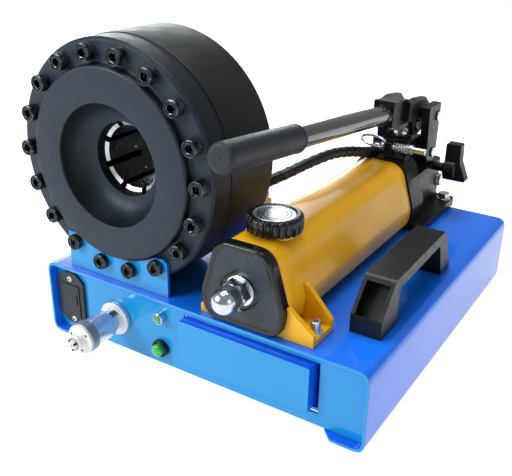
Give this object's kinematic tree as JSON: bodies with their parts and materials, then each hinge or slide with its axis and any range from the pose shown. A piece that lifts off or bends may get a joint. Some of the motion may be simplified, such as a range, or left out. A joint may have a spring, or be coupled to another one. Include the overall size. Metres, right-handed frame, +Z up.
{
  "type": "manual hydraulic hose crimping press",
  "caption": "Bench-top hydraulic crimping press: round die head on an angle bracket, lever hand pump with oil tank, high-pressure hose and a folded sheet base with controls.",
  "frame": {"origin": "centre of the footprint of the whole machine, on the bench it stands on", "axes": "+Z up; +Y from the control panel to the back of the base; +X to the right seen from the front, from the die head to the pump"},
  "size_m": [0.4066, 0.4726, 0.3282],
  "materials": {
    "blue_paint": "gloss blue enamel on folded sheet steel",
    "yellow_paint": "gloss yellow enamel",
    "head_paint": "matte blue-black coating with fine orange peel",
    "barrel_paint": "satin black coating on turned steel",
    "black_paint": "satin black enamel on cast iron",
    "black_oxide": "black oxide, lightly oiled",
    "bright_steel": "ground or zinc-plated bright steel",
    "chrome": "polished chrome plate",
    "dial_metal": "satin chrome plate with polished edges",
    "black_plastic": "fine textured black plastic",
    "grip_rubber": "pebbled black rubber",
    "hose_rubber": "smooth black rubber hose with a spiral guard",
    "green_plastic": "clear gloss green plastic"
  },
  "bodies": {
    "frame": {"base_shell": "blue_paint", "front_panel": "blue_paint", "battery_holder": "black_plastic", "dial_mount": "dial_metal", "indicator_lamp": "green_plastic", "button_bezel": "black_plastic", "front_cover": "head_paint", "head_barrel": "barrel_paint", "rear_cover": "barrel_paint", "cover_bolt_01": "black_oxide", "cover_bolt_02": "black_oxide", "cover_bolt_03": "black_oxide", "cover_bolt_04": "black_oxide", "cover_bolt_05": "black_oxide", "cover_bolt_06": "black_oxide", "cover_bolt_07": "black_oxide", "cover_bolt_08": "black_oxide", "cover_bolt_09": "black_oxide", "cover_bolt_10": "black_oxide", "cover_bolt_11": "black_oxide", "cover_bolt_12": "black_oxide", "cover_bolt_13": "black_oxide", "cover_bolt_14": "black_oxide", "cover_bolt_15": "black_oxide", "cover_bolt_16": "black_oxide", "cover_bolt_17": "black_oxide", "cover_bolt_18": "black_oxide", "head_bracket": "blue_paint", "oil_tank": "yellow_paint", "tank_end_cap": "black_plastic", "tie_rod": "chrome", "tank_foot": "yellow_paint", "pump_body": "black_paint", "hydraulic_hose": "hose_rubber", "hose_fitting_pump": "bright_steel", "hose_fitting_head": "bright_steel", "carry_handle": "black_plastic"},
    "piston": {"cone_piston": "bright_steel"},
    "die_1": {"master_die_1": "black_oxide"},
    "die_2": {"master_die_2": "black_oxide"},
    "die_3": {"master_die_3": "black_oxide"},
    "die_4": {"master_die_4": "black_oxide"},
    "die_5": {"master_die_5": "black_oxide"},
    "die_6": {"master_die_6": "black_oxide"},
    "die_7": {"master_die_7": "black_oxide"},
    "die_8": {"master_die_8": "black_oxide"},
    "link": {"pump_link": "black_paint"},
    "handle": {"handle_socket": "black_paint", "handle_tube": "black_paint", "handle_grip": "grip_rubber"},
    "plunger": {"pump_plunger": "bright_steel"},
    "knob": {"release_knob": "black_plastic"},
    "dipper": {"dipstick": "bright_steel"},
    "cap": {"filler_cap": "black_plastic"},
    "spindle": {"dial_spindle": "bright_steel"},
    "thimble": {"dial_thimble": "dial_metal"},
    "button": {"push_button": "green_plastic"},
    "cell_tray": {"battery_tray": "black_plastic"},
    "drawer": {"die_drawer": "blue_paint"},
    "lock": {"lock_pin": "bright_steel"}
  },
  "joints": [
    {"name": "piston_slide", "type": "slide", "parent": "frame", "child": "piston", "axis": [0, -1, 0], "range_m": [0, 0.016]},
    {"name": "die_1_slide", "type": "slide", "parent": "frame", "child": "die_1", "axis": [-1, 0, 0], "range_m": [0, 0.0075]},
    {"name": "die_2_slide", "type": "slide", "parent": "frame", "child": "die_2", "axis": [-0.7071, 0, -0.7071], "range_m": [0, 0.0075]},
    {"name": "die_3_slide", "type": "slide", "parent": "frame", "child": "die_3", "axis": [0, 0, -1], "range_m": [0, 0.0075]},
    {"name": "die_4_slide", "type": "slide", "parent": "frame", "child": "die_4", "axis": [0.7071, 0, -0.7071], "range_m": [0, 0.0075]},
    {"name": "die_5_slide", "type": "slide", "parent": "frame", "child": "die_5", "axis": [1, 0, 0], "range_m": [0, 0.0075]},
    {"name": "die_6_slide", "type": "slide", "parent": "frame", "child": "die_6", "axis": [0.7071, 0, 0.7071], "range_m": [0, 0.0075]},
    {"name": "die_7_slide", "type": "slide", "parent": "frame", "child": "die_7", "axis": [0, 0, 1], "range_m": [0, 0.0075]},
    {"name": "die_8_slide", "type": "slide", "parent": "frame", "child": "die_8", "axis": [-0.7071, 0, 0.7071], "range_m": [0, 0.0075]},
    {"name": "handle_hinge", "type": "hinge", "parent": "link", "child": "handle", "pos_m": [0.0743, 0.20535, 0.204], "axis": [-1, 0, 0], "range_deg": [0, 42]},
    {"name": "link_hinge", "type": "hinge", "parent": "frame", "child": "link", "pos_m": [0.0743, 0.19835, 0.16], "axis": [1, 0, 0], "range_deg": [0, 4.3]},
    {"name": "plunger_slide", "type": "slide", "parent": "frame", "child": "plunger", "axis": [0, 0, 1], "range_m": [0, 0.023]},
    {"name": "knob_hinge", "type": "hinge", "parent": "frame", "child": "knob", "pos_m": [0.1323, 0.20335, 0.1415], "axis": [1, 0, 0], "range_deg": [0, 120]},
    {"name": "dipstick_slide", "type": "slide", "parent": "frame", "child": "dipper", "axis": [0, 0, 1], "range_m": [0, 0.009]},
    {"name": "cap_hinge", "type": "hinge", "parent": "dipper", "child": "cap", "pos_m": [0.0783, -0.12765, 0.176], "axis": [0, 0, 1], "range_deg": [0, 1080]},
    {"name": "spindle_slide", "type": "slide", "parent": "frame", "child": "spindle", "axis": [0, -1, 0], "range_m": [0, 0.005]},
    {"name": "thimble_hinge", "type": "hinge", "parent": "spindle", "child": "thimble", "pos_m": [-0.0887, -0.21035, 0.0388], "axis": [0, -1, 0], "range_deg": [0, 1800]},
    {"name": "button_slide", "type": "slide", "parent": "frame", "child": "button", "axis": [0, 1, 0], "range_m": [0, 0.003], "stiffness_N_per_m": 500, "springref_m": -0.001},
    {"name": "cell_tray_slide", "type": "slide", "parent": "frame", "child": "cell_tray", "axis": [0, -1, 0], "range_m": [0, 0.045]},
    {"name": "drawer_slide", "type": "slide", "parent": "frame", "child": "drawer", "axis": [0, -1, 0], "range_m": [0, 0.13]},
    {"name": "lock_slide", "type": "slide", "parent": "frame", "child": "lock", "axis": [-1, 0, 0], "range_m": [0, 0.012], "stiffness_N_per_m": 400, "springref_m": -0.003}
  ],
  "couplings": [
    {"joint": "die_1_slide", "follows": "piston_slide", "ratio": 0.46631},
    {"joint": "die_2_slide", "follows": "piston_slide", "ratio": 0.46631},
    {"joint": "die_3_slide", "follows": "piston_slide", "ratio": 0.46631},
    {"joint": "die_4_slide", "follows": "piston_slide", "ratio": 0.46631},
    {"joint": "die_5_slide", "follows": "piston_slide", "ratio": 0.46631},
    {"joint": "die_6_slide", "follows": "piston_slide", "ratio": 0.46631},
    {"joint": "die_7_slide", "follows": "piston_slide", "ratio": 0.46631},
    {"joint": "die_8_slide", "follows": "piston_slide", "ratio": 0.46631},
    {"joint": "link_hinge", "follows": "handle_hinge", "ratio": 0.1},
    {"joint": "plunger_slide", "follows": "handle_hinge", "m_per_rad": 0.031},
    {"joint": "dipstick_slide", "follows": "cap_hinge", "m_per_rad": 0.00047746},
    {"joint": "spindle_slide", "follows": "thimble_hinge", "m_per_rad": 0.00015915}
  ]
}
